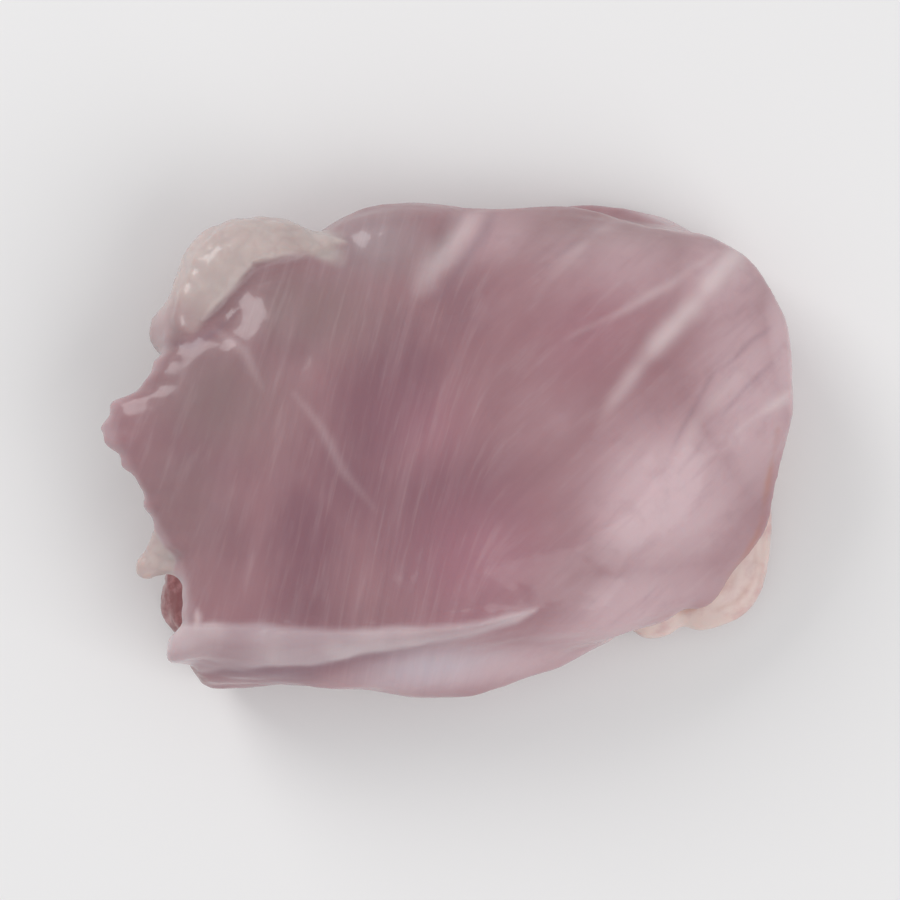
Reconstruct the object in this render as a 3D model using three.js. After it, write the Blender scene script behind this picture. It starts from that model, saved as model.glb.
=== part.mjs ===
// A skinless, boneless chicken thigh, folded with its smooth outer side up: the long sides and
// the right end are rolled under, and the left end is open, so that the inner meat and the ends
// of the folded-under flaps show there.
// Millimetres. X runs from the open end (-) to the tucked end (+), Y from the front roll (-) to
// the back (+), Z up from the surface that the piece lies on. The origin is under its middle.
// The meat is described by one function, meat(), which is below zero inside it. surface() lays a
// mesh of even quads over the place where that function crosses zero.
import * as THREE from "three";

// The mesh's step, and the box that is sampled. Vertices keep cellMargin of a cell clear of its
// sides, and those nearer than flatWithin to the resting plane lie on it.
const meshStep = 2.05;
const sampled = { low: [-53.15, -38.4, -1.3], high: [54, 41, 33] };
const cellMargin = 0.04;
const flatWithin = 0.08;

// Driving sizes of the folded piece. A ripple's waves are height, rate for each mm or radian, and
// phase; a plane wave is its rates along x, y and z, and its phase. A span is where something
// starts, is full, is full to, and ends.
const crown = { height: 28.4, x: -4, y: -1, fallAlong: 0.0022, fallAcross: 0.003 };
const roll = {
  halfHeight: 14.4, depth: 19, power: 2.05, topInset: 1.6, insetFrom: 9, insetTo: 22,
  overhang: 3.2, overhangFrom: 10, overhangTo: 13.5, overhangBearings: [-42, -14, 36, 62],
};
const openEnd = {
  x: -37.6, round: 5, waves: [[1.1, 0.31, 0.4], [0.6, 0.83, 0]],
  backReach: 2.6, backFrom: 8, backTo: 22,
};
const pocket = { at: [-43, -1.5, 13.2], half: [15.5, 21.5, 4], turn: 0, round: 1.2 };
const lip = {
  rightX: -12, middleY: -4.5, halfWidth: 23.5, edge: 6, power: 2.2, round: 3, join: 2.2,
  half: { at: -34, value: 5.4 }, tipHalf: { at: -47, value: 3 },
  sink: { at: -30, value: 0.3 }, buried: { at: -12, value: 5 },
};
const ragged = {
  from: -34, to: -40, coarse: 0.5, coarseWaves: [[0, 0.9, 0.25, 0.5], [0, 0.37, 0, 1]],
  fine: 0.22, fineWave: [0, 2.1, -0.6, 0],
};
const wallWave = { height: 0.9, wave: [0.11, 0.09, 0.33, 1], from: -36, to: -28 };

// The edge of the upper sheet, seen from above, anticlockwise from the point at the open end
const sheetEdge = [
  [-48.9, 3.6], [-48.3, 0.6], [-46.5, -2.8], [-43.0, -10.4], [-38.6, -18.6], [-38.0, -26.0],
  [-38.6, -33.0], [-31.0, -35.1], [-18.0, -34.8], [-4.0, -34.7], [11.0, -32.4],
  [25.0, -28.0], [37.0, -20.5], [45.4, -8.0], [50.2, 7.0], [47.8, 20.5],
  [40.0, 29.6], [27.0, 34.4], [11.0, 34.8], [-4.0, 32.0], [-14.0, 29.8],
  [-25.0, 31.5], [-35.5, 29.5], [-40.5, 22.5], [-41.4, 14.6], [-45.0, 9.6],
  [-48.3, 6.7],
];
const edgeStepsPerSpan = 8;
const lengthToWidth = 1.35;

// Rounded lumps: centre, half sizes along its own axes, and the turn in plan in degrees.
// join is how softly a group melts into the rest.
const innerMeat = {
  join: 0.9,
  lumps: [
    { at: [-24, -8, 13], half: [12.5, 7.5, 3.6], turn: 8 },
    { at: [-22, 5, 13.6], half: [12, 7, 3.4], turn: -10 },
    { at: [-26, -17.5, 12], half: [9.5, 5, 3], turn: 20 },
    { at: [-25.5, 13.5, 12.6], half: [9, 5, 3], turn: -20 },
  ],
};
const flapEnds = {
  join: 1.3,
  lumps: [
    { at: [-25, -19, 5], half: [16, 12.5, 6.6], turn: 6 },
    { at: [-27, -7, 4.6], half: [12.5, 8, 5.8], turn: -14 },
    { at: [-24, 9.5, 4.4], half: [14.5, 7, 5.6], turn: 10 },
    { at: [-24.5, 20, 5.6], half: [13.5, 9.5, 6.6], turn: -8 },
  ],
};
const tuckedBulges = {
  join: 2.4,
  lumps: [
    { at: [-6, 30, 10.5], half: [13.5, 6, 8.5], turn: 4 },
    { at: [31, -18.5, 7], half: [10, 8.2, 7], turn: 38 },
    { at: [36.5, -18.5, 6.2], half: [7.6, 6.4, 5.6], turn: 30 },
    { at: [40, -11, 5.8], half: [5.6, 9, 5.4], turn: -20 },
  ],
};
const fatPad = {
  join: 2.4,
  lumps: [
    { at: [-32.6, 25.4, 17.4], half: [7.4, 5.6, 6.4], turn: 50 },
    { at: [-26, 28.2, 16.4], half: [9, 4.8, 6.8], turn: -4 },
    { at: [-36.4, 19.6, 17.2], half: [4.8, 6, 6], turn: -24 },
    { at: [-40.4, 17, 15.6], half: [3.4, 4.2, 4], turn: 0 },
  ],
};
const fatTag = {
  join: 2.2,
  lumps: [{ at: [-41.6, -15, 19], half: [5.4, 2.9, 2.2], turn: 52 }],
};

// The ridge of white fat along the front roll, widest at the open end
const fatStrip = {
  path: [[-39, -28.8], [-31, -28], [-20, -27.6], [-8, -26.6], [2, -25], [12, -22.6]],
  height: 1.15, wide: 4.2, narrow: 0.8, taper: 0.8,
  fadeFrom: 0.75, fadeTo: 1.05, showsFrom: 10, showsTo: 15,
};
// The short crease that runs in from the back edge
const topCrease = {
  path: [[3.5, 38], [1, 32], [-2.5, 26], [-5, 21]],
  depth: 1.5, width: 1.5, fadeFrom: 0.3, fadeTo: 1, showsFrom: 10, showsTo: 18,
};
// Folds where the right end is gathered under
const pleats = [
  { path: [[31, -12], [33, -17], [34, -27]], depth: 0.9, low: 2, high: 16 },
  { path: [[24, -18], [25.5, -24], [26.5, -34]], depth: 1.2, low: 1, high: 13 },
  { path: [[38, 12], [43, 14.5], [52, 18]], depth: 1, low: 1, high: 14 },
];
const pleatForm = { width: 1.6, startsBelow: 2, endsOver: 6, fullFrom: 0.6 };
// Seams below, where the folded-under flaps meet
const seams = [
  { path: [[-46, 1], [-30, 3.5], [-14, 0.5], [2, 4.5], [15, 2], [24, 5]], radius: 3.4 },
  { path: [[24, 5], [27, -6], [23, -18], [26, -34]], radius: 3 },
  { path: [[24, 5], [29, 15], [26, 26], [31, 40]], radius: 3 },
];
const seamRound = 1.4;
const seamDrop = 0.4;

// Long grooves round the walls: the upper layer's edge over the flap tucked under the right
// end, which shows from above at the front corner only, and the low tucks along the front and
// the back
const layerEdge = {
  height: 10.6, waves: [[1.6, 3.1, 0.6], [0.5, 9, 0]], depth: 2.3, width: 1.9,
  bearings: [-62, -44, 4, 46],
};
const flap = { bulge: 1, inset: 1.8, bulgesAt: -26, insetAt: 0, from: 9.5, to: 6 };
const frontTuck = {
  height: 5.4, waves: [[1.5, 0.17, 0.5], [0.5, 0.53, 0]], depth: 1.5, width: 1.8,
  along: [-36, -24, 2, 16], fullAt: -12,
};
const backTuck = {
  height: 8.5, waves: [[1.5, 0.21, 1.5]], depth: 1.4, width: 1.8,
  along: [4, 14, 22, 34], fullAt: 12,
};

// Unevenness all over, and more of it underneath
const swell = {
  waves: 11, longest: 46, shortest: 9, height: 0.8,
  firstTurn: 20, turn: 137.5, lean: 0.5, leanStep: 2.4, firstLean: 0.7, phaseStep: 1.7,
};
const underside = {
  lift: -0.5, coarse: 0.5, coarseWaves: [[0.19, 0, 0, 0.6], [0, 0.23, 0, 0.4]],
  fine: 0.3, fineWave: [0.41, -0.3, 0, 2], from: 7, to: 1,
};
const floorRound = 0.6;

const { clamp, degToRad, lerp, radToDeg } = THREE.MathUtils;

function smoothStep(from, to, value) {
  const t = clamp((value - from) / (to - from), 0, 1);
  return t * t * (3 - 2 * t);
}

function softMin(a, b, reach) {
  const share = clamp(0.5 + (0.5 * (b - a)) / reach, 0, 1);
  return lerp(b, a, share) - reach * share * (1 - share);
}

const softMax = (a, b, reach) => -softMin(-a, -b, reach);
const bell = (distance, width) => Math.exp(-((distance / width) ** 2));

const within = ([from, full, fullTo, to], value) =>
  smoothStep(from, full, value) * smoothStep(to, fullTo, value);

const ripple = (waves, at) =>
  waves.reduce((sum, [height, rate, phase]) => sum + height * Math.sin(rate * at + phase), 0);

const planeWave = ([alongX, alongY, alongZ, phase], x, y, z) =>
  Math.sin(alongX * x + alongY * y + alongZ * z + phase);

// A coarse unevenness, the product of two waves, and a fine one
function coarseAndFine({ coarse, coarseWaves, fine, fineWave }, x, y, z) {
  const [first, second] = coarseWaves.map((wave) => planeWave(wave, x, y, z));
  return coarse * first * second + fine * planeWave(fineWave, x, y, z);
}

// Nearest distance from a point in plan to a line of points, and the share of the way along it
function alongPath(x, y, path) {
  let nearest = Infinity;
  let share = 0;
  for (let i = 0; i < path.length - 1; i += 1) {
    const [ax, ay] = path[i];
    const [ex, ey] = [path[i + 1][0] - ax, path[i + 1][1] - ay];
    const t = clamp(((x - ax) * ex + (y - ay) * ey) / (ex * ex + ey * ey), 0, 1);
    const distance = Math.hypot(x - ax - ex * t, y - ay - ey * t);
    if (distance < nearest) {
      nearest = distance;
      share = (i + t) / (path.length - 1);
    }
  }
  return { distance: nearest, share };
}

function closedCurve(points) {
  const corners = points.map(([x, y]) => new THREE.Vector3(x, y, 0));
  const curve = new THREE.CatmullRomCurve3(corners, true, "catmullrom", 0.5);
  return curve.getPoints(points.length * edgeStepsPerSpan).map((p) => [p.x, p.y]);
}

const edgeLoop = closedCurve(sheetEdge);

// How far a point in plan lies inside the upper sheet's edge, below zero outside it
function insideEdge(x, y) {
  let inside = false;
  for (let i = 0; i < edgeLoop.length - 1; i += 1) {
    const [ax, ay] = edgeLoop[i];
    const [bx, by] = edgeLoop[i + 1];
    const crosses = ay > y !== by > y && x < ((bx - ax) * (y - ay)) / (by - ay) + ax;
    if (crosses) inside = !inside;
  }
  const { distance } = alongPath(x, y, edgeLoop);
  return inside ? distance : -distance;
}

// Everything about a point in plan that doesn't depend on its height
function planOf(x, y) {
  return {
    edge: insideEdge(x, y),
    strip: alongPath(x, y, fatStrip.path),
    crease: alongPath(x, y, topCrease.path),
    pleats: pleats.map((pleat) => alongPath(x, y, pleat.path)),
    seams: seams.map((seam) => alongPath(x, y, seam.path)),
  };
}

function ellipsoid(x, y, z, { at, half, turn }) {
  const angle = degToRad(turn);
  const [dx, dy] = [x - at[0], y - at[1]];
  const along = (dx * Math.cos(angle) + dy * Math.sin(angle)) / half[0];
  const across = (dy * Math.cos(angle) - dx * Math.sin(angle)) / half[1];
  const up = (z - at[2]) / half[2];
  return (Math.hypot(along, across, up) - 1) * Math.min(...half);
}

function addLumps(body, x, y, z, { join, lumps }) {
  let joined = body;
  for (const lump of lumps) joined = softMin(joined, ellipsoid(x, y, z, lump), join);
  return joined;
}

// A slab with a rounded rim: depth in from its edge, and height from its middle
function roundedSlab(inside, rim, z, middle, half, power) {
  const out = Math.max(rim - inside, 0) / rim;
  const up = Math.abs(z - middle) / half;
  return ((out ** power + up ** power) ** (1 / power) - 1) * Math.min(rim, half);
}

function unevenness(x, y, z) {
  let total = 0;
  for (let i = 0; i < swell.waves; i += 1) {
    const length = swell.longest * (swell.shortest / swell.longest) ** (i / (swell.waves - 1));
    const turn = degToRad(swell.turn * i + swell.firstTurn);
    const lean = swell.lean * Math.sin(swell.leanStep * i + swell.firstLean);
    const along = x * Math.cos(turn) + y * Math.sin(turn) + z * lean;
    const share = length / swell.longest;
    total += swell.height * share * Math.sin((2 * Math.PI * along) / length + swell.phaseStep * i);
  }
  return total / Math.sqrt(swell.waves);
}

// Which way a point lies from the middle, in radians, with the piece taken as round
const bearingOf = (x, y) => Math.atan2(y * lengthToWidth, x);

// The rolled body, open at the left, and the upper sheet's lip over that opening
function rolledSheet(x, y, z, plan) {
  const torn = coarseAndFine(ragged, x, y, z);
  const wave = wallWave.height * planeWave(wallWave.wave, x, y, z);
  const edge =
    plan.edge +
    torn * smoothStep(ragged.from, ragged.to, x) +
    wave * smoothStep(wallWave.from, wallWave.to, x);
  const top =
    crown.height - crown.fallAlong * (x - crown.x) ** 2 - crown.fallAcross * (y - crown.y) ** 2;

  const endInside =
    x - openEnd.x + ripple(openEnd.waves, y) +
    openEnd.backReach * smoothStep(openEnd.backFrom, openEnd.backTo, y);
  const rightSide = within(roll.overhangBearings, radToDeg(bearingOf(x, y)));
  const rollInside =
    edge +
    roll.overhang * rightSide * smoothStep(roll.overhangFrom, roll.overhangTo, z) -
    roll.topInset * smoothStep(roll.insetFrom, roll.insetTo, z);
  const rolled = roundedSlab(
    softMin(rollInside, endInside, openEnd.round),
    roll.depth, z, top - roll.halfHeight, roll.halfHeight, roll.power,
  );
  const opened = softMax(rolled, -ellipsoid(x, y, z, pocket), pocket.round);

  const sink = lerp(lip.sink.value, lip.buried.value, smoothStep(lip.sink.at, lip.buried.at, x));
  const half = lerp(lip.half.value, lip.tipHalf.value, smoothStep(lip.half.at, lip.tipHalf.at, x));
  const band = softMin(edge, lip.halfWidth - Math.abs(y - lip.middleY), lip.round);
  const lipInside = softMin(band, lip.rightX - x, lip.round);
  const sheet = roundedSlab(lipInside, lip.edge, z, top - sink - half, half, lip.power);
  return softMin(opened, sheet, lip.join);
}

// How deep one groove is: it wavers round its height
const groove = ({ height, waves, depth, width }, z, at) =>
  depth * bell(z - height - ripple(waves, at), width);

const tuckGroove = (tuck, x, y, z) =>
  within(tuck.along, x) * smoothStep(0, tuck.fullAt, y) * groove(tuck, z, x);

// The depth of the grooves that run round the walls at a height, less the flap's bulge
function wallGrooves(x, y, z) {
  const bearing = bearingOf(x, y);
  const degrees = radToDeg(bearing);
  const outward = lerp(-flap.inset, flap.bulge, smoothStep(flap.insetAt, flap.bulgesAt, degrees));
  const bulge = outward * smoothStep(flap.from, flap.to, z);
  return (
    within(layerEdge.bearings, degrees) * (groove(layerEdge, z, bearing) - bulge) +
    tuckGroove(frontTuck, x, y, z) +
    tuckGroove(backTuck, x, y, z)
  );
}

// What stands up from the skin side or runs into it: the fat ridge, the crease and the pleats
function surfaceRelief(x, y, z, plan) {
  const { distance, share } = plan.strip;
  const width = lerp(fatStrip.wide, fatStrip.narrow, share ** fatStrip.taper);
  const ridge =
    fatStrip.height * bell(distance, width) *
    smoothStep(fatStrip.fadeTo, fatStrip.fadeFrom, share) *
    smoothStep(fatStrip.showsFrom, fatStrip.showsTo, z);
  const crease =
    topCrease.depth * bell(plan.crease.distance, topCrease.width) *
    smoothStep(topCrease.fadeTo, topCrease.fadeFrom, plan.crease.share) *
    smoothStep(topCrease.showsFrom, topCrease.showsTo, z);
  let folds = 0;
  pleats.forEach(({ depth, low, high }, i) => {
    const { distance: away, share: out } = plan.pleats[i];
    const { width: across, startsBelow, endsOver, fullFrom } = pleatForm;
    const shows = within([low - startsBelow, low + startsBelow, high - endsOver, high], z);
    folds += depth * bell(away, across) * smoothStep(0, fullFrom, out) * shows;
  });
  return crease + folds - ridge;
}

// Below zero inside the meat, above zero outside it, in about millimetres
function meat(x, y, z, plan) {
  let body = rolledSheet(x, y, z, plan);
  for (const group of [innerMeat, flapEnds, tuckedBulges, fatPad, fatTag]) {
    body = addLumps(body, x, y, z, group);
  }
  body += wallGrooves(x, y, z) + surfaceRelief(x, y, z, plan);
  seams.forEach(({ radius }, i) => {
    const cut = Math.hypot(plan.seams[i].distance, z + seamDrop) - radius;
    body = softMax(body, -cut, seamRound);
  });
  const under = underside.lift + coarseAndFine(underside, x, y, z);
  body += unevenness(x, y, z) + under * smoothStep(underside.from, underside.to, z);
  return softMax(body, -z, floorRound);
}

// The grid of samples round the piece. index() gives a sample's place in values.
function sampleMeat(low, high, step) {
  const count = low.map((start, axis) => Math.ceil((high[axis] - start) / step) + 1);
  const values = new Float64Array(count[0] * count[1] * count[2]);
  const index = (i, j, k) => (i * count[1] + j) * count[2] + k;
  for (let i = 0; i < count[0]; i += 1) {
    for (let j = 0; j < count[1]; j += 1) {
      const [x, y] = [low[0] + i * step, low[1] + j * step];
      const plan = planOf(x, y);
      for (let k = 0; k < count[2]; k += 1) {
        values[index(i, j, k)] = meat(x, y, low[2] + k * step, plan);
      }
    }
  }
  return { low, step, count, values, index };
}

const axes = [[1, 0, 0], [0, 1, 0], [0, 0, 1]];
const cellCorners = [];
for (const i of [0, 1]) for (const j of [0, 1]) for (const k of [0, 1]) cellCorners.push([i, j, k]);
const plus = (a, b) => a.map((value, axis) => value + b[axis]);

function forEachCell({ count }, visit) {
  for (let i = 0; i < count[0] - 1; i += 1) {
    for (let j = 0; j < count[1] - 1; j += 1) {
      for (let k = 0; k < count[2] - 1; k += 1) visit([i, j, k]);
    }
  }
}

// Two lumps that touch only across a cell's diagonal would share one edge of the mesh. The
// samples between them that are nearest to the meat are filled until no such place is left.
function fillPinches(grid) {
  const filled = -0.02;
  const at = (cell) => grid.index(...cell);
  const inside = (cell) => grid.values[at(cell)] < 0;
  let changed = true;
  const fillNearest = (cells) => {
    const outside = cells.filter((cell) => !inside(cell));
    outside.sort((a, b) => grid.values[at(a)] - grid.values[at(b)]);
    grid.values[at(outside[0])] = filled;
    changed = true;
  };
  while (changed) {
    changed = false;
    forEachCell(grid, (cell) => {
      for (const [u, v] of [[0, 1], [1, 2], [0, 2]]) {
        const beside = plus(cell, axes[u]);
        const square = [cell, beside, plus(beside, axes[v]), plus(cell, axes[v])];
        const [a, b, c, d] = square.map(inside);
        if (a === c && b === d && a !== b) fillNearest(square);
      }
      const corners = cellCorners.map((corner) => plus(cell, corner));
      const sides = corners.map(inside);
      for (let c = 0; c < 4; c += 1) {
        const alone = sides.filter((side) => side === sides[c]).length === 2;
        if (alone && sides[c] === sides[7 - c]) fillNearest(corners);
      }
    });
  }
}

// One vertex in each cell that the surface passes through, at the mean of its edge crossings,
// a little clear of the cell's sides and flat on the resting plane where it is close to that
function cellVertex(grid, cell) {
  const sum = [0, 0, 0];
  let crossings = 0;
  for (const corner of cellCorners) {
    for (let axis = 0; axis < 3; axis += 1) {
      if (corner[axis]) continue;
      const a = grid.values[grid.index(...plus(cell, corner))];
      const b = grid.values[grid.index(...plus(plus(cell, corner), axes[axis]))];
      if (a < 0 === b < 0) continue;
      crossings += 1;
      for (let d = 0; d < 3; d += 1) sum[d] += cell[d] + corner[d] + axes[axis][d] * (a / (a - b));
    }
  }
  if (!crossings) return null;
  const point = sum.map((value, d) => {
    const place = clamp(value / crossings, cell[d] + cellMargin, cell[d] + 1 - cellMargin);
    return grid.low[d] + grid.step * place;
  });
  if (Math.abs(point[2]) < flatWithin) point[2] = 0;
  return point;
}

// A closed mesh of triangles over the grid's surface, each quad split along its shorter diagonal
function surface(grid) {
  const points = [];
  const vertexOf = new Map();
  forEachCell(grid, (cell) => {
    const point = cellVertex(grid, cell);
    if (point) vertexOf.set(grid.index(...cell), points.push(point) - 1);
  });
  const apart = (a, b) => Math.hypot(...points[a].map((value, d) => value - points[b][d]));
  const triangles = [];
  forEachCell(grid, (node) => {
    for (let axis = 0; axis < 3; axis += 1) {
      const [u, v] = [(axis + 1) % 3, (axis + 2) % 3];
      const here = grid.values[grid.index(...node)] < 0;
      const next = grid.values[grid.index(...plus(node, axes[axis]))] < 0;
      if (here === next) continue;
      const back = (cell, side) => cell.map((value, d) => value - axes[side][d]);
      const cells = [back(back(node, u), v), back(node, v), node, back(node, u)];
      const quad = cells.map((cell) => vertexOf.get(grid.index(...cell)));
      const [a, b, c, d] = here ? quad : quad.reverse();
      if (apart(a, c) < apart(b, d)) triangles.push(a, b, c, a, c, d);
      else triangles.push(a, b, d, b, c, d);
    }
  });
  const geometry = new THREE.BufferGeometry();
  geometry.setAttribute("position", new THREE.Float32BufferAttribute(points.flat(), 3));
  geometry.setIndex(triangles);
  geometry.computeVertexNormals();
  return geometry;
}

function chickenThigh() {
  const grid = sampleMeat(sampled.low, sampled.high, meshStep);
  fillPinches(grid);
  const flesh = new THREE.MeshStandardMaterial({ color: 0xb98d93, roughness: 0.38, metalness: 0 });
  const thigh = new THREE.Mesh(surface(grid), flesh);
  thigh.name = "thigh";
  return thigh;
}

const part = new THREE.Group();
part.add(chickenThigh());

export default part;
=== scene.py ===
import math

import bpy
import numpy as np
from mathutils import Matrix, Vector, noise


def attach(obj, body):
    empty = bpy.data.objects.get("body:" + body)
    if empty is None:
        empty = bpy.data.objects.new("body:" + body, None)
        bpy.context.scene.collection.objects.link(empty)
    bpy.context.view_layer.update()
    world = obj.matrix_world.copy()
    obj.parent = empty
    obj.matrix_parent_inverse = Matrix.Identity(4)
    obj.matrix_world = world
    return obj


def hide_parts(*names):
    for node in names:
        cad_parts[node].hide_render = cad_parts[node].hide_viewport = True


# A raw, skinless, boneless chicken thigh, folded with its smooth outer side up.
# Shapes are worked out in millimetres, X from the open end to the tucked end, Z up.
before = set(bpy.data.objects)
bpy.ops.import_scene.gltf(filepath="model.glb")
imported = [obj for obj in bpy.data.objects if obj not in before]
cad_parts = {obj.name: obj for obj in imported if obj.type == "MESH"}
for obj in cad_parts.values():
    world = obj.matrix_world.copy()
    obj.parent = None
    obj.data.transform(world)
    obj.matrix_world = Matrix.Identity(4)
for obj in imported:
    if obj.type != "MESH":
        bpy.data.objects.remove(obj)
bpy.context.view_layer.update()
mm = 0.001
noiseSeed = 7
noise.seed_set(noiseSeed)  # makes the noise vectors the same in every run


# Small helpers for shapes

def smoothStep(start, end, value):
    t = np.clip((value - start) / (end - start), 0, 1)
    return t * t * (3 - 2 * t)


def mix(a, b, share):
    return a + (b - a) * share


def softMin(a, b, reach):
    share = np.clip(0.5 + 0.5 * (b - a) / reach, 0, 1)
    return mix(b, a, share) - reach * share * (1 - share)


def softMax(a, b, reach):
    return -softMin(-a, -b, reach)


def bell(distance, width):
    return np.exp(-(distance / width) ** 2)


# Nearest distance in plan to a line of points, and the share of the way along it
def alongPath(x, y, path):
    nearest, share = np.inf, 0.0
    for i, ((ax, ay), (bx, by)) in enumerate(zip(path, path[1:])):
        ex, ey = bx - ax, by - ay
        t = np.clip(((x - ax) * ex + (y - ay) * ey) / (ex * ex + ey * ey), 0, 1)
        distance = np.hypot(x - ax - ex * t, y - ay - ey * t)
        share = np.where(distance < nearest, (i + t) / (len(path) - 1), share)
        nearest = np.minimum(distance, nearest)
    return nearest, share


# A closed, even curve through the points
def closedCurve(points, stepsPerSpan):
    spots = np.array(points, float)
    before, after, next2 = np.roll(spots, 1, 0), np.roll(spots, -1, 0), np.roll(spots, -2, 0)
    curve = []
    for i in range(len(spots)):
        for t in np.arange(stepsPerSpan) / stepsPerSpan:
            a, b, c, d = before[i], spots[i], after[i], next2[i]
            curve.append(0.5 * (2 * b + (c - a) * t + (2 * a - 5 * b + 4 * c - d) * t * t
                                + (3 * b - a - 3 * c + d) * t ** 3))
    return [tuple(p) for p in curve] + [tuple(curve[0])]


# How far a point in plan lies inside the loop, below zero outside it
def insideLoop(x, y, loop):
    inside = np.zeros(np.broadcast(x, y).shape, bool)
    for (ax, ay), (bx, by) in zip(loop, loop[1:]):
        if ay != by:
            inside ^= ((ay > y) != (by > y)) & (x < (bx - ax) * (y - ay) / (by - ay) + ax)
    distance, _ = alongPath(x, y, loop)
    return np.where(inside, distance, -distance)


def inPlan(x, y, at, turn):
    cos, sin = math.cos(math.radians(turn)), math.sin(math.radians(turn))
    dx, dy = x - at[0], y - at[1]
    return dx * cos + dy * sin, dy * cos - dx * sin


def ellipsoid(x, y, z, at, half, turn):
    along, across = inPlan(x, y, at, turn)
    out = np.sqrt((along / half[0]) ** 2 + (across / half[1]) ** 2 + ((z - at[2]) / half[2]) ** 2)
    return (out - 1) * min(half)


# The least distance to a group of rounded lumps, below zero inside one
def nearLumps(x, y, z, group):
    return np.min([ellipsoid(x, y, z, *lump) for lump in group["lumps"]], axis=0)


lumpMargin = 1


# Each lump is worked out only where it can reach the meat's surface
def addLumps(body, x, y, z, group):
    for at, half, turn in group["lumps"]:
        reach = max(half) * (1 + (group["join"] + lumpMargin) / min(half))
        part = tuple(
            slice(*np.searchsorted(line.ravel(), (at[a] - reach, at[a] + reach)))
            for a, line in enumerate((x, y, z))
        )
        near = ellipsoid(x[part[0]], y[:, part[1]], z[:, :, part[2]], at, half, turn)
        body[part] = softMin(body[part], near, group["join"])
    return body


# A slab with a rounded rim
def roundedSlab(inside, rim, z, middle, half, power):
    out = np.maximum(rim - inside, 0) / rim
    up = np.abs(z - middle) / half
    return ((out ** power + up ** power) ** (1 / power) - 1) * np.minimum(rim, half)


# Rises over the first part of the span and falls over the last
def within(span, value):
    return smoothStep(span[0], span[1], value) * smoothStep(span[3], span[2], value)


def ripple(waves, at):
    return sum(height * np.sin(rate * at + phase) for height, rate, phase in waves)


def planeWave(wave, x, y, z):
    alongX, alongY, alongZ, phase = wave
    return np.sin(alongX * x + alongY * y + alongZ * z + phase)


# A coarse unevenness, the product of two waves, and a fine one
def coarseAndFine(form, x, y, z):
    first, second = (planeWave(wave, x, y, z) for wave in form["coarseWaves"])
    return form["coarse"] * first * second + form["fine"] * planeWave(form["fineWave"], x, y, z)


# The form of the folded piece. A lump is its place, half sizes and turn in plan. A ripple's
# waves are height, rate for each mm or radian, and phase; a plane wave is its rates along x, y
# and z, and its phase. A span is where something starts, is full, is full to, and ends.

sheet = dict(
    edge=[
        (-48.9, 3.6), (-48.3, 0.6), (-46.5, -2.8), (-43.0, -10.4), (-38.6, -18.6), (-38.0, -26.0),
        (-38.6, -33.0), (-31.0, -35.1), (-18.0, -34.8), (-4.0, -34.7), (11.0, -32.4),
        (25.0, -28.0), (37.0, -20.5), (45.4, -8.0), (50.2, 7.0), (47.8, 20.5),
        (40.0, 29.6), (27.0, 34.4), (11.0, 34.8), (-4.0, 32.0), (-14.0, 29.8),
        (-25.0, 31.5), (-35.5, 29.5), (-40.5, 22.5), (-41.4, 14.6), (-45.0, 9.6), (-48.3, 6.7),
    ],
    stepsPerSpan=8, lengthToWidth=1.35,
)
crown = dict(height=28.4, at=(-4, -1), fall=(0.0022, 0.003))
roll = dict(
    halfHeight=14.4, depth=19, power=2.05, topInset=1.6, insetFrom=9, insetTo=22,
    overhang=3.2, overhangFrom=10, overhangTo=13.5, overhangBearings=(-42, -14, 36, 62),
)
openEnd = dict(
    x=-37.6, round=5, waves=[(1.1, 0.31, 0.4), (0.6, 0.83, 0)],
    backReach=2.6, backFrom=8, backTo=22,
)
pocket = dict(lump=((-43, -1.5, 13.2), (15.5, 21.5, 4), 0), round=1.2)
lip = dict(
    rightX=-12, middleY=-4.5, halfWidth=23.5, edge=6, power=2.2, round=3, join=2.2,
    half=5.4, halfAt=-34, tipHalf=3, tipAt=-47, sink=0.3, sinkAt=-30, buried=5, buriedAt=-12,
)
ragged = dict(
    start=-34, full=-40, coarse=0.5, coarseWaves=[(0, 0.9, 0.25, 0.5), (0, 0.37, 0, 1)],
    fine=0.22, fineWave=(0, 2.1, -0.6, 0),
)
wallWave = dict(height=0.9, wave=(0.11, 0.09, 0.33, 1), start=-36, full=-28)
innerMeat = dict(join=0.9, lumps=[
    ((-24, -8, 13), (12.5, 7.5, 3.6), 8),
    ((-22, 5, 13.6), (12, 7, 3.4), -10),
    ((-26, -17.5, 12), (9.5, 5, 3), 20),
    ((-25.5, 13.5, 12.6), (9, 5, 3), -20),
])
flapEnds = dict(join=1.3, lumps=[
    ((-25, -19, 5), (16, 12.5, 6.6), 6),
    ((-27, -7, 4.6), (12.5, 8, 5.8), -14),
    ((-24, 9.5, 4.4), (14.5, 7, 5.6), 10),
    ((-24.5, 20, 5.6), (13.5, 9.5, 6.6), -8),
])
tuckedBulges = dict(join=2.4, lumps=[
    ((-6, 30, 10.5), (13.5, 6, 8.5), 4),
    ((31, -18.5, 7), (10, 8.2, 7), 38),
    ((36.5, -18.5, 6.2), (7.6, 6.4, 5.6), 30),
    ((40, -11, 5.8), (5.6, 9, 5.4), -20),
])
fatPad = dict(join=2.4, lumps=[
    ((-32.6, 25.4, 17.4), (7.4, 5.6, 6.4), 50),
    ((-26, 28.2, 16.4), (9, 4.8, 6.8), -4),
    ((-36.4, 19.6, 17.2), (4.8, 6, 6), -24),
    ((-40.4, 17, 15.6), (3.4, 4.2, 4), 0),
])
fatTag = dict(join=2.2, lumps=[((-41.6, -15, 19), (5.4, 2.9, 2.2), 52)])
fatStrip = dict(
    path=[(-39, -28.8), (-31, -28), (-20, -27.6), (-8, -26.6), (2, -25), (12, -22.6)],
    height=1.15, wide=4.2, narrow=0.8, taper=0.8,
    fadeFrom=0.75, fadeTo=1.05, showsFrom=10, showsTo=15,
)
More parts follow.
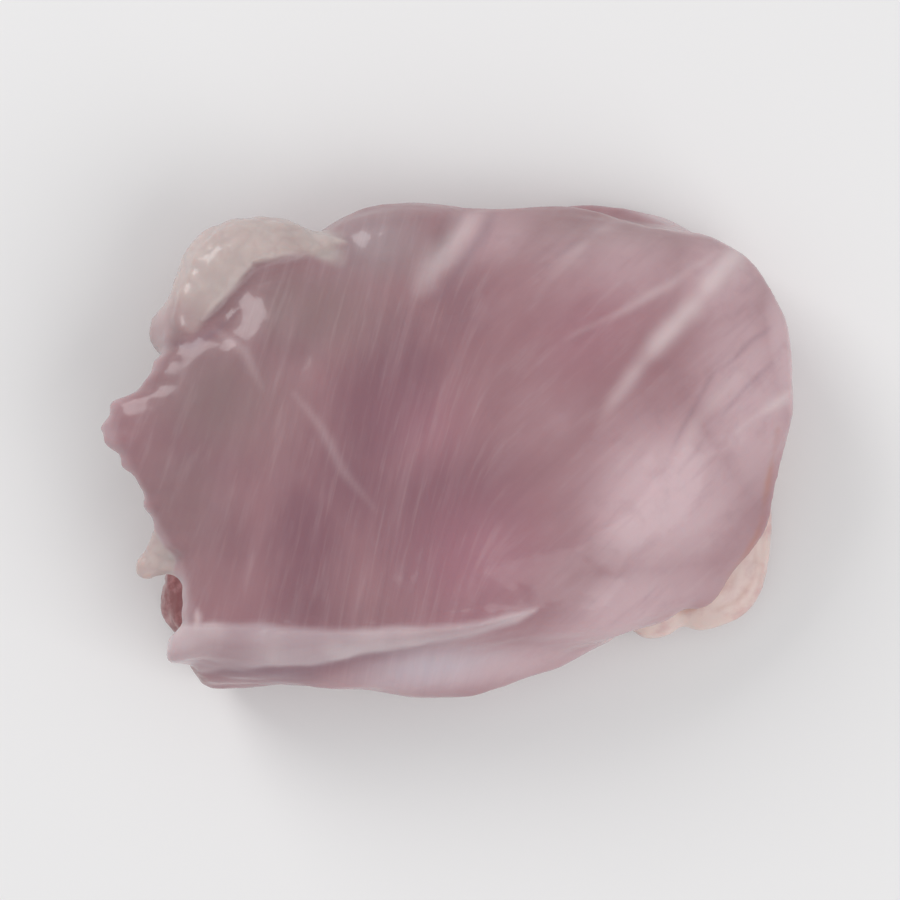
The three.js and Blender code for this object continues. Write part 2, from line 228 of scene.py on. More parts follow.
topCrease = dict(
    path=[(3.5, 38), (1, 32), (-2.5, 26), (-5, 21)],
    depth=1.5, width=1.5, fadeFrom=0.3, fadeTo=1, showsFrom=10, showsTo=18,
)
pleats = [
    dict(path=[(31, -12), (33, -17), (34, -27)], depth=0.9, low=2, high=16),
    dict(path=[(24, -18), (25.5, -24), (26.5, -34)], depth=1.2, low=1, high=13),
    dict(path=[(38, 12), (43, 14.5), (52, 18)], depth=1, low=1, high=14),
]
pleatForm = dict(width=1.6, startsBelow=2, endsOver=6, fullFrom=0.6)
seams = [
    dict(path=[(-46, 1), (-30, 3.5), (-14, 0.5), (2, 4.5), (15, 2), (24, 5)], radius=3.4),
    dict(path=[(24, 5), (27, -6), (23, -18), (26, -34)], radius=3),
    dict(path=[(24, 5), (29, 15), (26, 26), (31, 40)], radius=3),
]
seamForm = dict(round=1.4, drop=0.4)
layerEdge = dict(
    height=10.6, waves=[(1.6, 3.1, 0.6), (0.5, 9, 0)], depth=2.3, width=1.9,
    bearings=(-62, -44, 4, 46),
)
flap = dict(bulge=1.0, bulgesAt=-26, inset=1.8, insetAt=0, start=9.5, full=6)
frontTuck = dict(
    height=5.4, waves=[(1.5, 0.17, 0.5), (0.5, 0.53, 0)], depth=1.5, width=1.8,
    along=(-36, -24, 2, 16), fullAt=-12,
)
backTuck = dict(
    height=8.5, waves=[(1.5, 0.21, 1.5)], depth=1.4, width=1.8,
    along=(4, 14, 22, 34), fullAt=12,
)
swell = dict(
    waves=11, longest=46, shortest=9, height=0.8, firstTurn=20, turn=137.5,
    lean=0.5, leanStep=2.4, firstLean=0.7, phaseStep=1.7,
)
underside = dict(
    lift=-0.5, coarse=0.5, coarseWaves=[(0.19, 0, 0, 0.6), (0, 0.23, 0, 0.4)],
    fine=0.3, fineWave=(0.41, -0.3, 0, 2), start=7, full=1,
)
floorRound = 0.6


def insideSheet(x, y):
    return insideLoop(x, y, closedCurve(sheet["edge"], sheet["stepsPerSpan"]))


# Which way a point lies from the middle, in radians, with the piece taken as round
def bearingOf(x, y):
    return np.arctan2(y * sheet["lengthToWidth"], x)


# The rolled body, open at the left, and the upper sheet's lip over that opening
def rolledSheet(x, y, z, edge):
    torn = coarseAndFine(ragged, x, y, z) * smoothStep(ragged["start"], ragged["full"], x)
    wave = wallWave["height"] * planeWave(wallWave["wave"], x, y, z)
    edge = edge + torn + wave * smoothStep(wallWave["start"], wallWave["full"], x)
    (topX, topY), (fallX, fallY) = crown["at"], crown["fall"]
    top = crown["height"] - fallX * (x - topX) ** 2 - fallY * (y - topY) ** 2

    endInside = (x - openEnd["x"] + ripple(openEnd["waves"], y)
                 + openEnd["backReach"] * smoothStep(openEnd["backFrom"], openEnd["backTo"], y))
    rightSide = within(roll["overhangBearings"], np.degrees(bearingOf(x, y)))
    overhang = roll["overhang"] * smoothStep(roll["overhangFrom"], roll["overhangTo"], z)
    inset = roll["topInset"] * smoothStep(roll["insetFrom"], roll["insetTo"], z)
    inside = softMin(edge + overhang * rightSide - inset, endInside, openEnd["round"])
    rolled = roundedSlab(inside, roll["depth"], z, top - roll["halfHeight"], roll["halfHeight"],
                         roll["power"])
    opened = softMax(rolled, -ellipsoid(x, y, z, *pocket["lump"]), pocket["round"])

    sink = mix(lip["sink"], lip["buried"], smoothStep(lip["sinkAt"], lip["buriedAt"], x))
    half = mix(lip["half"], lip["tipHalf"], smoothStep(lip["halfAt"], lip["tipAt"], x))
    band = softMin(edge, lip["halfWidth"] - np.abs(y - lip["middleY"]), lip["round"])
    lipInside = softMin(band, lip["rightX"] - x, lip["round"])
    upper = roundedSlab(lipInside, lip["edge"], z, top - sink - half, half, lip["power"])
    return softMin(opened, upper, lip["join"])


# How deep one groove is: it wavers round its height
def groove(form, z, at):
    return form["depth"] * bell(z - form["height"] - ripple(form["waves"], at), form["width"])


def tuckGroove(form, x, y, z):
    return within(form["along"], x) * smoothStep(0, form["fullAt"], y) * groove(form, z, x)


# Grooves that run round the walls, less the bulge of the tucked flap
def wallGrooves(x, y, z):
    bearing = bearingOf(x, y)
    degrees = np.degrees(bearing)
    bulge = mix(-flap["inset"], flap["bulge"],
                smoothStep(flap["insetAt"], flap["bulgesAt"], degrees))
    bulge = bulge * smoothStep(flap["start"], flap["full"], z)
    return (within(layerEdge["bearings"], degrees) * (groove(layerEdge, z, bearing) - bulge)
            + tuckGroove(frontTuck, x, y, z) + tuckGroove(backTuck, x, y, z))


# The fat ridge stands up from the outer side; the crease and the pleats run into it
def surfaceRelief(x, y, z):
    away, share = alongPath(x, y, fatStrip["path"])
    width = mix(fatStrip["wide"], fatStrip["narrow"], share ** fatStrip["taper"])
    ridge = (fatStrip["height"] * bell(away, width)
             * smoothStep(fatStrip["fadeTo"], fatStrip["fadeFrom"], share)
             * smoothStep(fatStrip["showsFrom"], fatStrip["showsTo"], z))
    away, share = alongPath(x, y, topCrease["path"])
    folds = (topCrease["depth"] * bell(away, topCrease["width"])
             * smoothStep(topCrease["fadeTo"], topCrease["fadeFrom"], share)
             * smoothStep(topCrease["showsFrom"], topCrease["showsTo"], z))
    below, over = pleatForm["startsBelow"], pleatForm["endsOver"]
    for pleat in pleats:
        away, share = alongPath(x, y, pleat["path"])
        low, high = pleat["low"], pleat["high"]
        shows = within((low - below, low + below, high - over, high), z)
        depth = pleat["depth"] * bell(away, pleatForm["width"])
        folds = folds + depth * smoothStep(0, pleatForm["fullFrom"], share) * shows
    return folds - ridge


def unevenness(x, y, z):
    total = 0
    longest, shortest = swell["longest"], swell["shortest"]
    for i in range(swell["waves"]):
        length = longest * (shortest / longest) ** (i / (swell["waves"] - 1))
        turn = math.radians(swell["turn"] * i + swell["firstTurn"])
        lean = swell["lean"] * math.sin(swell["leanStep"] * i + swell["firstLean"])
        along = x * math.cos(turn) + y * math.sin(turn) + z * lean
        phase = 2 * math.pi * along / length + swell["phaseStep"] * i
        total = total + swell["height"] * length / longest * np.sin(phase)
    return total / math.sqrt(swell["waves"])


# Below zero inside the meat and above zero outside it, in about millimetres
def meat(x, y, z):
    body = rolledSheet(x, y, z, insideSheet(x, y))
    for group in (innerMeat, flapEnds, tuckedBulges, fatPad, fatTag):
        body = addLumps(body, x, y, z, group)
    body = body + wallGrooves(x, y, z) + surfaceRelief(x, y, z)
    for seam in seams:
        away, _ = alongPath(x, y, seam["path"])
        cut = seam["radius"] - np.hypot(away, z + seamForm["drop"])
        body = softMax(body, cut, seamForm["round"])
    under = underside["lift"] + coarseAndFine(underside, x, y, z)
    under = under * smoothStep(underside["start"], underside["full"], z)
    return softMax(body + unevenness(x, y, z) + under, -z, floorRound)


# Lays a mesh of even quads over the place where the samples cross zero
def surfaceOf(values, start, step):
    inside = values < 0
    shape = tuple(n - 1 for n in values.shape)
    corners = [(i, j, k) for i in (0, 1) for j in (0, 1) for k in (0, 1)]
    filled = sum(inside[i:i + shape[0], j:j + shape[1], k:k + shape[2]].astype(int)
                 for i, j, k in corners)
    crossed = (filled > 0) & (filled < 8)
    places = np.argwhere(crossed)
    vertexOf = np.full(shape, -1)
    vertexOf[crossed] = np.arange(len(places))

    total, crossings = np.zeros((len(places), 3)), np.zeros((len(places), 1))
    for corner in corners:
        for axis in (a for a in range(3) if corner[a] == 0):
            stepOn = np.eye(3, dtype=int)[axis]
            a = values[tuple((places + corner).T)]
            b = values[tuple((places + corner + stepOn).T)]
            cut = ((a < 0) != (b < 0))[:, None]
            share = (a / np.where(a == b, 1, a - b))[:, None]
            total += np.where(cut, corner + share * stepOn, 0)
            crossings += cut
    points = np.array(start) + (places + total / crossings) * step

    quads = []
    for axis in range(3):
        u, v = (axis + 1) % 3, (axis + 2) % 3
        here = np.take(inside, range(values.shape[axis] - 1), axis)
        there = np.take(inside, range(1, values.shape[axis]), axis)
        spots = np.argwhere(here != there)
        spots = spots[(spots[:, u] > 0) & (spots[:, v] > 0)]
        back = np.eye(3, dtype=int)
        ring = (spots - back[u] - back[v], spots - back[v], spots, spots - back[u])
        quad = np.stack([vertexOf[tuple(cell.T)] for cell in ring], axis=1)
        outward = here[tuple(spots.T)]
        quads.append(np.where(outward[:, None], quad, quad[:, ::-1]))
    return points, np.concatenate(quads)


# The fine grid that the form is sampled on, and how far its steps are smoothed out
mesher = dict(
    low=(-53, -38.4, -1.2), high=(54, 41, 33), step=0.5, flatWithin=0.04,
    smoothings=3, smoothing=0.5,
)


# Draws each point towards the mean of its neighbours, which takes the grid's steps out
def relaxed(points, quads):
    first, second = quads.ravel(), np.roll(quads, -1, 1).ravel()
    count = np.bincount(first, minlength=len(points))[:, None]
    for _ in range(mesher["smoothings"]):
        mean = np.stack([np.bincount(first, points[second, axis], len(points))
                         for axis in range(3)], axis=1) / count
        points = mix(points, mean, mesher["smoothing"])
    return points


def meatSurface():
    low, high, step = mesher["low"], mesher["high"], mesher["step"]
    x, y, z = np.meshgrid(*(np.arange(a, b + step, step) for a, b in zip(low, high)),
                          indexing="ij", sparse=True)
    points, quads = surfaceOf(meat(x, y, z), low, step)
    points[np.abs(points[:, 2]) < mesher["flatWithin"], 2] = 0
    return relaxed(points, quads), quads


# Which way the muscle fibres run on the outer side: up the piece at the open end, and
# slanting to the back at the other. fibreAcross is the same all along one fibre.
fibres = dict(openSlope=2.6, farSlope=0.95, turnFrom=-38, turnTo=8, low=-60, high=60, step=0.5)


def fibreAcross(x, y):
    line = np.arange(fibres["low"], fibres["high"], fibres["step"])
    slope = mix(fibres["openSlope"], fibres["farSlope"],
                smoothStep(fibres["turnFrom"], fibres["turnTo"], line))
    rise = np.interp(x, line, np.cumsum(slope) * fibres["step"])
    here = np.interp(x, line, slope)
    return (y - rise) / np.hypot(1, here)


def fibrePlace(points):
    x, y, z = points.T
    return np.stack([fibreAcross(x, y), x + y, z], axis=1)


# Patches of colour on the outer side: (place in plan, half sizes, turn, strength)
tone = dict(
    deep=[
        ((-9, 7), (9, 14), -25, 1.0), ((1, 19), (6, 10), -30, 0.6), ((-1, -8), (13, 12), 10, 0.8),
        ((-20, -13), (7, 14), 0, 0.9), ((-15, -4), (10, 10), 0, 0.8), ((-36, 2), (9, 14), 0, 0.7),
        ((-32, -12), (7, 8), 0, 0.6), ((-23, 16), (8, 7), 0, 0.7),
    ],
    # Paler fascia, and painted sheen over the right side and the rims
    pale=[
        ((31, -7), (14, 13), 45, 1.0), ((26, -22), (18, 7), 25, 0.8), ((42, 8), (9, 18), 0, 0.9),
        ((24, 26), (16, 8), -10, 0.6), ((4, -31.5), (26, 3.5), 8, 0.75), ((39, 24), (9, 9), 0, 0.8),
        ((32, 36), (14, 4), -28, 1.0), ((48, 14), (4, 12), 8, 1.0), ((6, 31), (9, 6), 0, 0.5),
        ((16, 4), (8, 8), 0, 0.3),
    ],
    grey=[
        ((-33, 8), (11, 10), 0, 0.9), ((-22, 20), (14, 8), 0, 0.9), ((-11, 30), (9, 7), 0, 1.0),
        ((24, 31), (18, 5), -8, 0.6), ((-38, -6), (8, 12), 0, 0.6), ((-40.5, 16), (4, 4), 0, 1.0),
    ],
    rose=[((4, -16), (10, 9), 20, 1.0), ((-3, 3), (6, 7), -30, 0.6), ((20, 17), (9, 6), 40, 0.5),
          ((14, -28), (8, 4), 20, 0.5)],
    sheen=[((-3, -31), (9, 3), 4, 1.0), ((-11, 30.5), (8, 5), 0, 0.3)],
)
# The bright bands of fat: the line along the middle of each, and its half widths
fatBand = dict(
    path=[(-37.2, 18.6), (-35.4, 22), (-33, 26), (-29.5, 29.6), (-24, 30.2), (-19, 30),
          (-15, 29.5)],
    halfWidths=[2.0, 3.0, 3.8, 3.4, 2.9, 1.9, 0.2], lift=0.5,
)
stripBand = dict(
    path=[(-39, -28.8), (-33, -27.9), (-27, -27.6), (-20, -27.9), (-13, -27.1), (-6, -26.4),
          (2, -25.4), (9, -23.6), (12, -22.6)],
    halfWidths=[3.8, 3.3, 3.1, 2.7, 1.9, 1.4, 1.0, 0.6, 0.1], lift=0.3,
    dim=[((-32.5, -29.5), (5, 3), 0, 0.6)],
)
# Lines in the outer side, thin where they start and end: silvery seams, on the upper right
# partly painted glare streaks; painted shade in the furrows beside folds, under the fat ridge
# and along the pad's edge; and the brownish edges of the thin flap
# Silvery seams; the long diagonal ones on the upper right are partly painted glare streaks over low
# ridges
seamAndGlareLines = [
    dict(path=[(45, 32), (41.5, 28.8), (33.5, 19.7), (25.6, 10.6), (21, 4)],
         width=1.7, strength=1.0),
    dict(path=[(38, 28.5), (31, 23.5), (24, 19.6), (16, 15.4)], width=0.9, strength=0.5),
    dict(path=[(25, 34), (21, 31), (16, 26), (11, 20)], width=1.2, strength=0.3),
    dict(path=[(41, 11), (38, 7.5), (35, 3), (32, -1)], width=1.5, strength=0.55),
    dict(path=[(48.5, 8.3), (47.2, 7.2), (44, 5), (40, 2.2)], width=0.8, strength=0.9),
    dict(path=[(-22, 8), (-18, 3), (-15, -3), (-10, -9)], width=0.7, strength=0.25),
    dict(path=[(-33, 17), (-29, 14), (-26, 8)], width=0.8, strength=0.3),
    dict(path=[(5, 38), (2, 32), (-2.5, 25.5), (-5, 21)], width=2.4, strength=0.7),
    dict(path=[(-35.8, -22.6), (-35.6, -24), (-35.9, -26)], width=0.6, strength=0.8),
]
# Painted shade: darker lines in the furrows beside folds, under the fat ridge, along the fat pad's
# edge and beside the ridges on the upper right
furrowShadeLines = [
    dict(path=[(-36, -31.6), (-30, -31.6), (-23, -31.7), (-16, -30.6), (-9, -28.7), (-1, -27.3)],
         width=1.8, strength=1.0),
    dict(path=[(45.5, 17.5), (41, 14), (37.5, 11), (34, 4.5), (31, 0)], width=0.6, strength=0.7),
    dict(path=[(46, 12.5), (42, 9), (39, 5), (35, 0), (32, -3)], width=0.5, strength=0.5),
    dict(path=[(15, 27.5), (19, 30.5), (24, 34)], width=0.7, strength=0.5),
    dict(path=[(12, 27), (16, 30.5), (20, 34)], width=0.6, strength=0.4),
    dict(path=[(7.5, 37), (4.8, 31), (0.5, 24.5), (-3, 20)], width=1.1, strength=0.7),
    dict(path=[(-40.2, 15.2), (-36.6, 14.6), (-33, 16.6), (-30.2, 20)], width=0.6, strength=0.7),
]
rustLines = [
    dict(path=[(21, 34), (25, 34.2), (29, 33.6), (33, 32)], width=0.8, strength=0.6),
    dict(path=[(46.6, 3), (45.9, -3), (44.8, -9), (43.6, -13), (41.6, -17.6), (40, -20.5)],
         width=0.7, strength=1.0),
    dict(path=[(41.6, -16.6), (39, -20.4), (35, -22.8), (30.5, -24.2), (27, -26.5)],
         width=0.7, strength=0.9),
    dict(path=[(44.2, -14), (44.6, -17), (43.6, -19.4), (41.4, -21.8), (38, -23.6)],
         width=0.6, strength=0.8),
]


def patches(x, y, spots):
    total = np.zeros_like(x)
    for at, half, turn, strength in spots:
        along, across = inPlan(x, y, at, turn)
        total = np.maximum(total, strength * bell(along / half[0], 1) * bell(across / half[1], 1))
    return total


lineForm = dict(
    swayX=0.4, swayY=-0.3, start=0.12, end=0.98, bluntness=0.8, gaps=(-0.9, 0.2), thinnest=0.35,
)


# Lines waver a little to the side, and are here and there fainter and narrower
def linesOn(x, y, lines, waver, faint):
    swayX, swayY = lineForm["swayX"] * waver, lineForm["swayY"] * waver
    total = np.zeros_like(x)
    for line in lines:
        away, share = alongPath(x + swayX, y + swayY, line["path"])
        arch = np.sin(np.pi * mix(lineForm["start"], lineForm["end"], share))
        fade = arch ** lineForm["bluntness"] * smoothStep(*lineForm["gaps"], faint)
        width = line["width"] * mix(lineForm["thinnest"], 1, fade)
        total = np.maximum(total, line["strength"] * fade * bell(away, width))
    return total


bandForm = dict(softness=0.6, sway=0.3)


def bandOn(x, y, band, drift):
    away, share = alongPath(x, y, band["path"])
    half = np.interp(share, np.linspace(0, 1, len(band["path"])), band["halfWidths"])
    soft = bandForm["softness"]
    return smoothStep(half + soft, half - soft, away + bandForm["sway"] * drift)


# Uneven fields over the surface. The first three move and thin out borders and lines, and the
# rest are relief.
fields = dict(
    drift=dict(size=5.0, seed=3.0),
    waver=dict(size=8.0, seed=4.0),
    faint=dict(size=9.0, seed=6.0),
    bundle=dict(size=4.5, seed=1.0, stretch=(1, 0.22, 0.22)),
    wrap=dict(size=4.0, seed=9.0, stretch=(0.4, 0.4, 1.5)),
    dimple=dict(size=2.6, seed=5.0, depth=3),
    strand=dict(size=1.7, seed=12.0, stretch=(0.2, 1, 1)),
)


def scatter(points, size, seed, stretch=(1, 1, 1), depth=2, falloff=1.0, finer=2.0):
    shift = Vector((seed, seed * 0.7, -seed))
    return np.array([noise.fractal(Vector(p) + shift, falloff, finer, depth)
                     for p in points * stretch / size])


# The rounded lobules of the fat, and the cut ends of the inner meat's bundles
lobules = dict(stretch=(1, 1, 1), size=2.8, seed=2.0)
bundleEnds = dict(stretch=(0.35, 1, 1), size=3.4, seed=7.0)
cellForm = dict(bend=0.45, bendScale=1.3, radius=0.75, wall=0.35)


# Rounded cells: how far up its own dome each point lies, and how near to a wall between two
def cells(points, stretch, size, seed):
    shift = Vector((seed, -seed, seed * 0.5))
    spots = [Vector(p) + shift for p in points * stretch / size]
    bent = [p + cellForm["bend"] * noise.noise_vector(p * cellForm["bendScale"]) for p in spots]
    near = np.array([noise.voronoi(p)[0][:2] for p in bent])
    dome = 1 - np.clip(near[:, 0] / cellForm["radius"], 0, 1) ** 2
    return dome, smoothStep(cellForm["wall"], 0.0, near[:, 1] - near[:, 0])


# Where each kind of surface starts and is full, and how far its border drifts. They are
# millimetres, but facesOpenEnd, cut and upward go by the normal and septa by a noise.
borders = dict(
    padWall=(2.0, 0.1, 0.7), padSide=(4.5, 2.5, 1), padFoot=(6, 9, 0), padBand=(11, 15, 0),
    tag=(1.2, 0.2, 0), strip=(9, 13, 0), facesOpenEnd=(-0.3, -0.7, 0), stripFoot=(20, 17, 1.2),
    pocket=(1.6, 0.3, 0), pocketBack=(-20, -24, 0),
    inner=(1.2, 0.1, 0), innerBack=(-18, -22, 0),
    cut=(-0.2, -0.7, 0), cutBack=(-30, -34, 0), cutTop=(18, 14, 0.8), cutFoot=(0.5, 3, 0),
    top=(4, 12, 0), crest=(10, 16, 0), upward=(0.25, 0.75, 0), sheen=(8, 17, 0),
    tuckedTop=(11.5, 9.5, 0.5), tuckedFoot=(1.5, 4, 0), septa=(-0.1, 0.5, 0),
    thinEdge=(2.4, 0.2, 0), thinTop=(15, 19, 0), thinBack=(-30, -36, 0),
)
padCorner = dict(patch=((-40.2, 16.2), (5.2, 4.8), -20, 1), bare=0.85)
tuckedBearings = (-64, -50, -8, 16)


def shown(name, value, drift=0.0):
    start, full, sway = borders[name]
    return smoothStep(start, full, value + sway * drift)


# What each place on the surface is: its fat, bare inner meat and colour, all from 0 to 1
def surfaceMasks(points, normals):
    x, y, z = points.T
    edge = insideSheet(x, y)
    drift = scatter(points, **fields["drift"])
    padWall = shown("padWall", nearLumps(x, y, z, fatPad), drift)
    padWall *= shown("padSide", edge, drift) * shown("padFoot", z)
    pad = np.maximum(padWall, bandOn(x, y, fatBand, drift) * shown("padBand", z))
    pad *= 1 - padCorner["bare"] * patches(x, y, [padCorner["patch"]])
    tag = shown("tag", nearLumps(x, y, z, fatTag))
    strip = bandOn(x, y, stripBand, drift) * shown("strip", z)
    strip *= 1 - patches(x, y, stripBand["dim"])
    strip *= 1 - shown("facesOpenEnd", normals[:, 0]) * shown("stripFoot", z, drift)

    inPocket = shown("pocket", ellipsoid(x, y, z, *pocket["lump"])) * shown("pocketBack", x)
    onInner = shown("inner", nearLumps(x, y, z, innerMeat)) * shown("innerBack", x)
    cutEnd = shown("cut", normals[:, 0]) * shown("cutBack", x)
    cutEnd *= shown("cutTop", z, drift) * shown("cutFoot", z)
    fat = np.maximum(pad, tag)
    raw = np.maximum.reduce([inPocket, onInner, cutEnd]) * (1 - fat)
    tucked = within(tuckedBearings, np.degrees(bearingOf(x, y)))
    tucked *= shown("tuckedTop", z, drift) * shown("tuckedFoot", z)
    top, crest = shown("top", z), shown("crest", z)
    waver, faint = scatter(points, **fields["waver"]), scatter(points, **fields["faint"])
    _, lobeWalls = cells(points, **lobules)
    _, bundleWalls = cells(points, **bundleEnds)
    return dict(
        fat=fat, strip=strip, raw=raw, tucked=tucked, upward=shown("upward", normals[:, 2]),
        lobes=lobeWalls * fat, septa=bundleWalls * shown("septa", faint) * raw,
        # silvery seams, on the upper right partly painted glare streaks
        lines=linesOn(x, y, seamAndGlareLines, waver, faint) * crest,
        # painted shade along the furrows, under the fat ridge and along the pad's edge
        dark=linesOn(x, y, furrowShadeLines, waver, faint) * crest,
        rust=linesOn(x, y, rustLines, waver, faint) * np.maximum(crest, tucked),
        rose=patches(x, y, tone["rose"]) * top,
        deep=patches(x, y, tone["deep"]) * top,
        grey=patches(x, y, tone["grey"]) * top,
        # paler fascia with painted sheen on the right side and rims
        pale=patches(x, y, tone["pale"]),
        sheen=patches(x, y, tone["sheen"]) * shown("sheen", z),
        thin=shown("thinEdge", edge) * shown("thinTop", z) * shown("thinBack", x),
    )


# How far each thing stands up or is sunk
relief = dict(
    bundle=0.14, wrap=0.25, dimple=0.05, lobule=0.3, fatDimple=0.1, stripFat=0.4,
    raw=0.36, rawDimple=0.4, strand=0.16, domeMiddle=0.7, line=0.22, dark=0.18, rust=0.1,
    bandFrom=14, bandTo=18, footFrom=0.1, footTo=1.5,
)


# Lifts and sinks the surface along its normals, in millimetres
def fineRelief(points, masks):
    x, y, z = points.T
    bundle = scatter(fibrePlace(points), **fields["bundle"])
    wrap = scatter(points, **fields["wrap"])
    dimple = scatter(points, **fields["dimple"])
    dome, _ = cells(points, **lobules)
    bundleEnd, _ = cells(points, **bundleEnds)
    strand = scatter(points, **fields["strand"])
    fat = np.maximum(masks["fat"], masks["strip"] * relief["stripFat"])
    skin = 1 - np.maximum(fat, masks["raw"])
    fibre = mix(relief["wrap"] * wrap, relief["bundle"] * bundle, masks["upward"])
    middle = relief["domeMiddle"]
    rounded = bundleEnd - middle + relief["rawDimple"] * dimple
    lift = skin * (fibre + relief["dimple"] * dimple)
    lift += fat * (relief["lobule"] * (dome - middle) * masks["fat"] + relief["fatDimple"] * dimple)
    lift += masks["raw"] * (relief["raw"] * rounded + relief["strand"] * strand)
    lift += masks["lines"] * relief["line"] - masks["dark"] * relief["dark"]
    lift += masks["strip"] * stripBand["lift"] - masks["rust"] * relief["rust"]
    band = bandOn(x, y, fatBand, 0) * smoothStep(relief["bandFrom"], relief["bandTo"], z)
    lift += band * fatBand["lift"]
    return lift * smoothStep(relief["footFrom"], relief["footTo"], z)


def newMesh(name, points, quads, material):
    mesh = bpy.data.meshes.new(name)
    mesh.from_pydata((points * mm).tolist(), [], quads.tolist())
    mesh.update()
    mesh.polygons.foreach_set("use_smooth", [True] * len(mesh.polygons))
    mesh.materials.append(material)
    piece = bpy.data.objects.new(name, mesh)
    bpy.context.scene.collection.objects.link(piece)
    return piece


def vertexNormals(mesh):
    normals = np.empty(len(mesh.vertices) * 3)
    mesh.vertex_normals.foreach_get("vector", normals)
    return normals.reshape(-1, 3)


def storeOn(mesh, name, kind, values):
    layer = mesh.attributes.new(name, kind, "POINT")
    layer.data.foreach_set("value" if kind == "FLOAT" else "vector", np.ravel(values))


# A node socket that takes part in Python sums
class Wire:
    def __init__(self, bench, socket):
        self.bench, self.socket = bench, socket

    def join(self, operation, first, second):
        ends = (first, second)
        kinds = [end.socket.type for end in ends if isinstance(end, Wire)]
        if "RGBA" in kinds:
            return self.bench.node("ShaderNodeMix", dict(data_type="RGBA", blend_type=operation),
                                   Factor_Float=1, A_Color=first, B_Color=second)
        kind = "ShaderNodeVectorMath" if "VECTOR" in kinds else "ShaderNodeMath"
        return self.bench.node(kind, dict(operation=operation), first, second)

    def __add__(self, other):
        return self.join("ADD", self, other)

    def __sub__(self, other):
        return self.join("SUBTRACT", self, other)

    def __rsub__(self, other):
        return self.join("SUBTRACT", other, self)

    def __mul__(self, other):
        return self.join("MULTIPLY", self, other)

    __radd__, __rmul__ = __add__, __mul__


# One material's node tree
class Bench:
    def __init__(self, name):
        self.material = bpy.data.materials.new(name)
        self.material.use_nodes = True
        self.tree = self.material.node_tree
        self.tree.nodes.clear()

    # settings come first, then sockets in order or by identifier; output names the one that
    # is handed on
    def node(self, kind, settings=None, *inOrder, **byName):
        made = self.tree.nodes.new(kind)
        for name, value in (settings or {}).items():
            if name != "output":
                setattr(made, name, value)
        sockets = {socket.identifier: socket for socket in made.inputs}
        links = list(zip(made.inputs, inOrder))
        links += [(sockets[name.replace("_", " ")] if name.replace("_", " ") in sockets
                   else sockets[name], value) for name, value in byName.items()]
        for socket, value in links:
            self.feed(socket, value)
        chosen = (settings or {}).get("output")
        outputs = sorted((s for s in made.outputs if s.enabled), key=lambda s: s.name != chosen)
        return Wire(self, outputs[0]) if outputs else None

    def feed(self, socket, value):
        if isinstance(value, Wire):
            self.tree.links.new(value.socket, socket)
        elif hasattr(socket.default_value, "__len__"):
            size = len(socket.default_value)
            spread = [value] * size if isinstance(value, (int, float)) else list(value)
            socket.default_value = spread + [1.0] * (size - len(spread))
        else:
            socket.default_value = value

    def attribute(self, name, output="Fac"):
        return self.node("ShaderNodeAttribute", dict(attribute_name=name, output=output))

    def colour(self, base, over, share):
        return self.node("ShaderNodeMix", dict(data_type="RGBA"),
                         Factor_Float=share, A_Color=base, B_Color=over)

    def ramp(self, value, start, full):
        return self.node("ShaderNodeMapRange", dict(interpolation_type="SMOOTHSTEP", clamp=True),
                         value, start, full, 0.0, 1.0)

    def cloud(self, place, size, detail=3.0, roughness=0.55, stretch=None):
        return self.node("ShaderNodeTexNoise", None, Vector=place * stretch if stretch else place,
                         Scale=1.0 / size, Detail=detail, Roughness=roughness)


# A colour as a screen shows it, from 0 to 255, turned into amounts of light
def shade(red, green, blue):
    return tuple(((c / 255 + 0.055) / 1.055) ** 2.4 if c > 10 else c / 255 / 12.92
                 for c in (red, green, blue))


flesh = dict(
    muscle=shade(153, 112, 118), rose=shade(172, 116, 130), deep=shade(131, 90, 100),
    # the last colour on the next line is painted shade for the furrows and edges
    pale=shade(198, 168, 173), grey=shade(136, 112, 112), furrowShade=shade(128, 98, 110),
    silver=shade(214, 196, 197), sheen=shade(196, 182, 190), thin=shade(182, 158, 162),
    raw=shade(126, 68, 70), rawPale=shade(172, 120, 122), rawDark=shade(104, 48, 52),
    septa=shade(196, 164, 162), fat=shade(192, 177, 172), fatDim=shade(166, 146, 144),
    strip=shade(196, 178, 181), stripDim=shade(180, 158, 163),
    cream=shade(222, 202, 194), creamPink=shade(202, 166, 164), rust=shade(172, 108, 82),
)
# Noise over the flesh: how large its spots are, in millimetres, and how fine it goes
noises = dict(
    broad=dict(size=14.0, detail=2.0),
    mottle=dict(size=4.0, detail=4.0),
    along=dict(size=4.5, detail=3.0, stretch=(1.0, 0.2, 0.2)),
    wrap=dict(size=4.0, detail=3.0, stretch=(0.4, 0.4, 1.5)),
    grain=dict(size=1.1, detail=2.0),
    strand=dict(size=1.8, detail=3.0, stretch=(1.0, 0.12, 0.12)),
    rawStrand=dict(size=1.8, detail=4.0, roughness=0.6, stretch=(0.2, 1.0, 1.0)),
)
# How much of what is under it each colour covers, and between which levels of a noise it comes
cover = dict(
    rose=0.55, grey=0.85, streak=0.14, mottle=0.16, silverStrand=0.1, deepStrand=0.14,
    sheen=0.8, dark=0.7, lines=0.75, thin=0.6, rawPale=0.55, rawDark=0.4, septa=0.5,
    creamPink=0.8, tucked=0.85, rust=0.6, strip=0.9, fatDim=0.5, lobes=0.22, fat=0.92,
)
levels = dict(
    deep=(0.1, 0.95), pale=(0.05, 1.0), streak=(0.4, 0.85), mottle=(0.5, 0.8),
    silverStrand=(0.5, 0.8), deepStrand=(0.5, 0.25), rawPale=(0.42, 0.7), rawDark=(0.48, 0.7),
    septa=(0.3, 0.6), creamPink=(0.42, 0.7), stripDim=(0.4, 0.65), fatDim=(0.4, 0.7),
)
